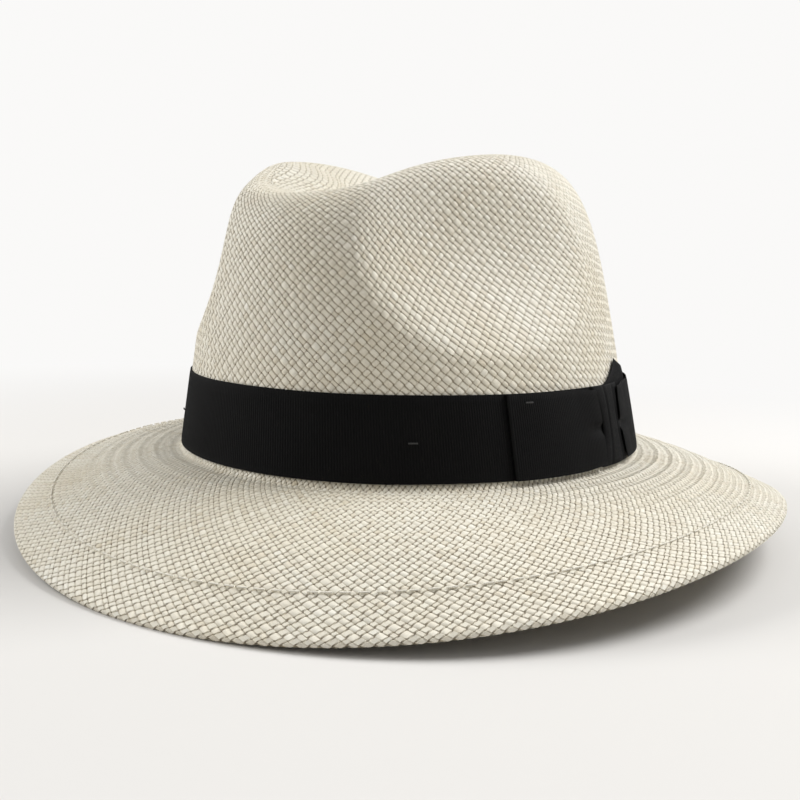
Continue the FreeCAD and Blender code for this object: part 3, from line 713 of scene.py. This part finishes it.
GROSGRAIN = grosgrain_material()
knot_middle = (KNOT_FIRST + KNOT_LAST) / 2
band_length = run_at(knot_middle) - run_at(knot_middle - 2 * math.pi)
band_ribs = round(band_length / RIB_PITCH)
band, flat = flat_strip("ribbon_band_cloth", band_length, RIBBON_WIDTH, band_ribs * ROWS_PER_RIB, 14)
mark_flat(band, flat)
from_edge = np.minimum(flat[:, 1], RIBBON_WIDTH - flat[:, 1])
lift = ribs(flat[:, 0] * (band_ribs * RIB_PITCH / band_length), from_edge)
slack = 0.00010 * np.sin(flat[:, 0] * 70) * np.cos(flat[:, 0] * 31 + 1)
set_points(band, np.stack([
    flat[:, 0] + run_at(knot_middle) - band_length,
    flat[:, 1] + RIBBON_LOW + slack,
    lift + OFF_STRAW + RIBBON,
], -1))
give_thickness(band, RIBBON)
lay_round(band)
finish_piece(band, GROSGRAIN, "grosgrain", "ribbon_band")

# ---------------------------------------------------------------- bow
# A flat bow of the same ribbon, tacked down on the wearer's left: a folded loop in
# front, a shorter one behind over a fanned tail, and a knot that gathers them.
LOOP_FIRST = math.radians(52.6)
REAR_LAST = math.radians(119.0)
TAIL_LAST = math.radians(126.0)
TAIL_PEAK = 0.29  # share of the tail's length where its top edge is highest
OVER_BAND = 0.00085  # off the straw, on top of the band
TAIL_THICK = 0.0004
FOLD = 0.00032  # radius of the fold at the end of a loop
LOOP_WALL = 0.00035
PINCH_REACH = 0.014  # how far from the knot a loop is drawn together
PINCH_CREASE = 0.0015
RIB_BOW = 0.0016
CLEAR = 0.0001
FRONT_SWELL = 0.0006
REAR_SWELL = 0.0002
GATHER = 0.05
FRONT_TUCK = 0.001  # how far a loop's end goes under the knot
REAR_TUCK = 0.005
MIDDLE = RIBBON_LOW + RIBBON_WIDTH / 2


def folded_loop(name, knot, end, low, swell):
    """A flattened loop: the ribbon runs out along the band, folds and comes back."""
    length = abs(end - knot) - FOLD
    path = 2 * length + math.pi * FOLD
    loop, flat = flat_strip(name, path, RIBBON_WIDTH, round(path / RIB_PITCH) * ROWS_PER_RIB, 16)
    mark_flat(loop, flat)
    run = flat[:, 0]
    across = (flat[:, 1] - RIBBON_WIDTH / 2) / (RIBBON_WIDTH / 2)
    swing = np.clip((run - length) / FOLD, 0, math.pi)
    round_fold = np.where(swing < math.pi, length + FOLD * np.sin(swing), path - run)
    out = np.where(run < length, run, round_fold)
    lift = low + FOLD * (1 - np.cos(swing))
    upper = smooth(swing, 0, math.pi)
    near_knot = smooth(-out, -PINCH_REACH, -0.001) * upper
    belly = np.sin(math.pi * np.clip(out / length, 0, 1)) * upper
    lift = lift + swell * belly * (1 - 0.5 * across ** 2) + 0.0009 * near_knot
    lift = lift - PINCH_CREASE * near_knot * np.exp(-((across + 0.05) / 0.12) ** 2)
    lift = lift + ribs(run, RIBBON_WIDTH / 2 * (1 - np.abs(across))) * np.where(upper > 0.5, 1, -1)
    bow = RIB_BOW * (1 - across ** 2) * smooth(-out, -length * 0.8, -length * 0.1) * upper
    height = MIDDLE + across * RIBBON_WIDTH / 2 * (1 - GATHER * near_knot)
    direction = 1 if end > knot else -1
    set_points(loop, np.stack([knot + direction * (out - bow), height, lift], -1))
    if direction > 0:
        turn_over()
    give_thickness(loop, -LOOP_WALL)
    lay_round(loop)
    return finish_piece(loop, GROSGRAIN, "grosgrain", name.replace("_cloth", ""))


front_knot = run_at(KNOT_FIRST) + FRONT_TUCK
folded_loop("bow_front_loop_cloth", front_knot, run_at(LOOP_FIRST), OVER_BAND + CLEAR, FRONT_SWELL)
rear_knot = run_at(KNOT_LAST) - REAR_TUCK
rear_low = OVER_BAND + TAIL_THICK + CLEAR
folded_loop("bow_rear_loop_cloth", rear_knot, run_at(REAR_LAST), rear_low, REAR_SWELL)

# the tail, cut on a slope and notched, stands up behind the loop as a fan
TAIL_FIRST = math.radians(84.0)
TAIL_RISE = 0.0084
TAIL_DROP = 0.0050
TAIL_NOTCH = 0.007
tail_first = run_at(TAIL_FIRST)
tail_length = run_at(TAIL_LAST) - tail_first
tail_columns = round(tail_length / RIB_PITCH) * ROWS_PER_RIB
tail, flat = flat_strip("bow_tail_cloth", tail_length, 1.0, tail_columns, 18)
out = flat[:, 0]
share = out / tail_length
up = flat[:, 1].copy()
top = RIBBON_LOW + RIBBON_WIDTH + TAIL_RISE * np.clip(share / TAIL_PEAK, 0, 1) ** 1.5
top = top - TAIL_DROP * np.clip((share - TAIL_PEAK) / 0.35, 0, 1) ** 0.7
end_cut = TAIL_NOTCH * (1 - np.abs(2 * up - 1)) * smooth(share, 0.5, 1.0)
ripple = 0.0004 * np.sin(up * 9 + share * 2) * smooth(share, 0.2, 1.0)
flat[:, 1] = up * RIBBON_WIDTH
mark_flat(tail, flat)
lift = OVER_BAND + TAIL_THICK * 0.6 + ripple + ribs(out, np.minimum(up, 1 - up) * RIBBON_WIDTH)
height = RIBBON_LOW + up * (top - RIBBON_LOW)
set_points(tail, np.stack([tail_first + out - end_cut, height, lift], -1))
give_thickness(tail, LOOP_WALL)
lay_round(tail)
finish_piece(tail, GROSGRAIN, "grosgrain", "bow_tail")

# the knot: a strip wound upright over the middle, drawn in at the waist and pleated
KNOT_OVER = 0.0006
KNOT_RISE = 0.0014
KNOT_WALL = 0.0004
KNOT_CLEAR = 0.00045
PLEAT_DEPTH = 0.0005
knot_width = run_at(KNOT_LAST) - run_at(KNOT_FIRST)
knot_height = RIBBON_WIDTH + 2 * KNOT_OVER
knot_rows = round(knot_height / RIB_PITCH) * ROWS_PER_RIB
knot, flat = flat_strip("bow_knot_cloth", knot_width, knot_height, 40, knot_rows)
mark_flat(knot, flat[:, [1, 0, 2]])
aside = flat[:, 0] / knot_width * 2 - 1
level = flat[:, 1] / knot_height * 2 - 1
waist = 1 - np.where(aside < 0, 0.42, 0.10) * (1 - level ** 2)
bulge = (1 - np.abs(aside) ** 3.2) ** 0.6 * (1 - np.abs(level) ** 9) ** 0.5
front_pleat = np.exp(-((aside + 0.42 - 0.1 * level) / 0.07) ** 2)
rear_pleat = np.exp(-((aside - 0.38) / 0.08) ** 2)
pleats = PLEAT_DEPTH * (front_pleat + rear_pleat)
lift = OVER_BAND + KNOT_RISE * bulge * (0.86 + 0.14 * np.abs(level)) - pleats * bulge
lift = lift + ribs(flat[:, 1], knot_width / 2 * (1 - np.abs(aside))) * 0.7
centre = (run_at(KNOT_FIRST) + run_at(KNOT_LAST)) / 2
set_points(knot, np.stack([
    centre + aside * knot_width / 2 * waist,
    RIBBON_LOW - KNOT_OVER + flat[:, 1],
    lift + KNOT_CLEAR,
], -1))
give_thickness(knot, KNOT_WALL)
lay_round(knot)
finish_piece(knot, GROSGRAIN, "grosgrain", "bow_knot")

# ---------------------------------------------------------------- tack stitches
# A few black stitches hold the band to the straw and the bow to the band.  They are the
# CAD solids, and only their thread is finished here.
finish_node("tack_stitches", thread_material("black_thread", (0.045, 0.045, 0.045)))

# ---------------------------------------------------------------- sweatband
# A strip of roan leather inside the head opening, its lower edge on a reed and sewn to
# the straw, its upper edge free and gently waved, with one tooled line.  A tape covers its
# rear seam, and a small blank tag is sewn beside it.
SWEAT_HEIGHT = 0.034
SWEAT_THICK = 0.0010
SWEAT_CLEAR = 0.0003
SWEAT_OFF = -(STRAW + SWEAT_CLEAR + SWEAT_THICK)  # its inner face, off the straw's outside
SWEAT_WALL = 0.0008
TOOLED_DOWN = 0.0035  # the tooled line, below the upper edge
WAVES = 11


def leather_material(name, dark, light):
    """Smooth leather: fine grain and pores, worn a little lighter in patches."""
    material, tree, shader = plain_material(name, light, 0.5, 0.4)
    place = add_node(tree, "ShaderNodeTexCoord")
    patch = add_node(tree, "ShaderNodeTexNoise", Scale=35.0, Detail=5.0)
    grain = add_node(tree, "ShaderNodeTexVoronoi", Scale=1100.0)
    link(tree, (place.outputs["Object"], patch.inputs["Vector"]),
         (place.outputs["Object"], grain.inputs["Vector"]))
    color = ramp(tree, patch.outputs["Fac"], (0.3, dark), (0.7, light))
    pores = ramp(tree, grain.outputs["Distance"], (0.0, (0.88, 0.86, 0.84)), (0.4, (1.0, 1.0, 1.0)))
    color = mix(tree, color, pores, 1.0, "MULTIPLY")
    bump = add_node(tree, "ShaderNodeBump", Strength=0.3, Distance=0.0001)
    link(tree, (color, shader.inputs["Base Color"]), (grain.outputs["Distance"], bump.inputs["Height"]),
         (bump.outputs["Normal"], shader.inputs["Normal"]))
    return material


LEATHER = leather_material("roan_leather", (0.33, 0.205, 0.115), (0.45, 0.30, 0.185))
full_run = run_at(2 * math.pi)
sweat, flat = flat_strip("sweatband_leather", full_run, SWEAT_HEIGHT, 360, 34)
run = flat[:, 0]
level = flat[:, 1]
tooled = 0.00016 * np.exp(-((level - SWEAT_HEIGHT + TOOLED_DOWN) / 0.0004) ** 2)
wave = 0.00012 * np.sin(run / full_run * 2 * math.pi * WAVES) * smooth(level, 0.012, SWEAT_HEIGHT)
roll = 0.0004 * smooth(level, SWEAT_HEIGHT - 0.0012, SWEAT_HEIGHT)
lift = SWEAT_OFF + tooled + wave + roll
set_points(sweat, np.stack([run + run_at(-math.pi), level + RIBBON_LOW, lift], -1))
turn_over()
lay_round(sweat)
weld(sweat, 50)
give_thickness(sweat, SWEAT_WALL)
finish_piece(sweat, LEATHER, "sweatband_leather", "sweatband")
finish_node("sweatband_reed", leather_material("reed_leather", (0.26, 0.16, 0.09), (0.36, 0.235, 0.14)))
finish_node("sweatband_seam_tape", thread_material("seam_tape", (0.30, 0.20, 0.12)))
finish_node("sweatband_stitching", thread_material("sweatband_thread", (0.62, 0.54, 0.42)))
finish_node("size_tag", thread_material("blank_tag_cloth", (0.80, 0.79, 0.75)))

# ---------------------------------------------------------------- studio
# A pale floor that fades into a near-white background, three soft lamps and the camera.
CAMERA_TURN = math.radians(27.12)
CAMERA_RISE = math.radians(9.51)
CAMERA_AWAY = 0.370
AIM_RIGHT = -0.00682
AIM_UP = 0.01324
CAMERA_ROLL = 0.03695
LENS = 40.13
LAMP_AIM = 0.06  # the height that the lamps point at
BACKDROP = (0.955, 0.948, 0.938, 1)

bpy.ops.mesh.primitive_circle_add(vertices=96, radius=6.0, fill_type="NGON")
floor = bpy.context.object
floor.name = "floor"
material, tree, shader = plain_material("pale_floor", (0.645, 0.632, 0.612), 0.9, 0.1)
place = add_node(tree, "ShaderNodeTexCoord")
distance = add_node(tree, "ShaderNodeVectorMath", operation="LENGTH")
white = add_node(tree, "ShaderNodeEmission", Color=BACKDROP, Strength=1.0)
seen = add_node(tree, "ShaderNodeLightPath")
far = add_node(tree, "ShaderNodeMapRange", interpolation_type="SMOOTHSTEP")
far.inputs["From Min"].default_value = 0.15
far.inputs["From Max"].default_value = 0.62
both_ways = add_node(tree, "ShaderNodeMath", operation="MULTIPLY")
blend = add_node(tree, "ShaderNodeMixShader")
link(tree, (place.outputs["Object"], distance.inputs[0]), (distance.outputs["Value"], far.inputs["Value"]),
     (far.outputs["Result"], both_ways.inputs[0]), (seen.outputs["Is Camera Ray"], both_ways.inputs[1]),
     (both_ways.outputs[0], blend.inputs[0]), (shader.outputs[0], blend.inputs[1]),
     (white.outputs[0], blend.inputs[2]),
     (blend.outputs[0], tree.nodes["Material Output"].inputs["Surface"]))
floor.data.materials.append(material)

world = bpy.data.worlds.new("studio")
bpy.context.scene.world = world
world.use_nodes = True
tree = world.node_tree
sky = tree.nodes["Background"]
sky.inputs["Color"].default_value = BACKDROP
seen = add_node(tree, "ShaderNodeLightPath")
level = add_node(tree, "ShaderNodeMapRange")
level.inputs["To Min"].default_value = 0.395
level.inputs["To Max"].default_value = 1.0
link(tree, (seen.outputs["Is Camera Ray"], level.inputs["Value"]),
     (level.outputs["Result"], sky.inputs["Strength"]))


def lamp(name, turn, rise, away, size, watts):
    """A broad soft lamp aimed at the middle of the hat."""
    turn, rise = math.radians(turn), math.radians(rise)
    back = np.array([math.sin(turn) * math.cos(rise), -math.cos(turn) * math.cos(rise), math.sin(rise)])
    bpy.ops.object.light_add(type="AREA", location=back * away + np.array([0, 0, LAMP_AIM]))
    light = bpy.context.object
    light.name = name
    light.data.shape = "DISK"
    light.data.size = size
    light.data.energy = watts
    light.rotation_mode = "QUATERNION"
    light.rotation_quaternion = Vector(back).to_track_quat("Z", "Y")


lamp("lamp_right", 130, 48, 1.3, 0.8, 18.0)
lamp("lamp_left", -60, 30, 1.3, 0.9, 11.0)
lamp("lamp_above", 90, 80, 1.4, 1.2, 1.5)

right = Vector((math.cos(CAMERA_TURN), math.sin(CAMERA_TURN), 0))
back = Vector((
    math.sin(CAMERA_TURN) * math.cos(CAMERA_RISE),
    -math.cos(CAMERA_TURN) * math.cos(CAMERA_RISE),
    math.sin(CAMERA_RISE),
))
aim = right * AIM_RIGHT + Vector((0, 0, BAND_LINE + AIM_UP))
stand = back * CAMERA_AWAY + Vector((0, 0, BAND_LINE))
bpy.ops.object.camera_add(location=stand)
camera = bpy.context.object
camera.rotation_mode = "QUATERNION"
straight = (aim - stand).to_track_quat("-Z", "Y")
camera.rotation_quaternion = straight @ Matrix.Rotation(CAMERA_ROLL, 3, "Z").to_quaternion()
camera.data.sensor_width = 36
camera.data.lens = LENS
camera.data.clip_start = 0.01
camera.data.clip_end = 30
bpy.context.scene.camera = camera
bpy.context.scene.view_settings.view_transform = "Standard"
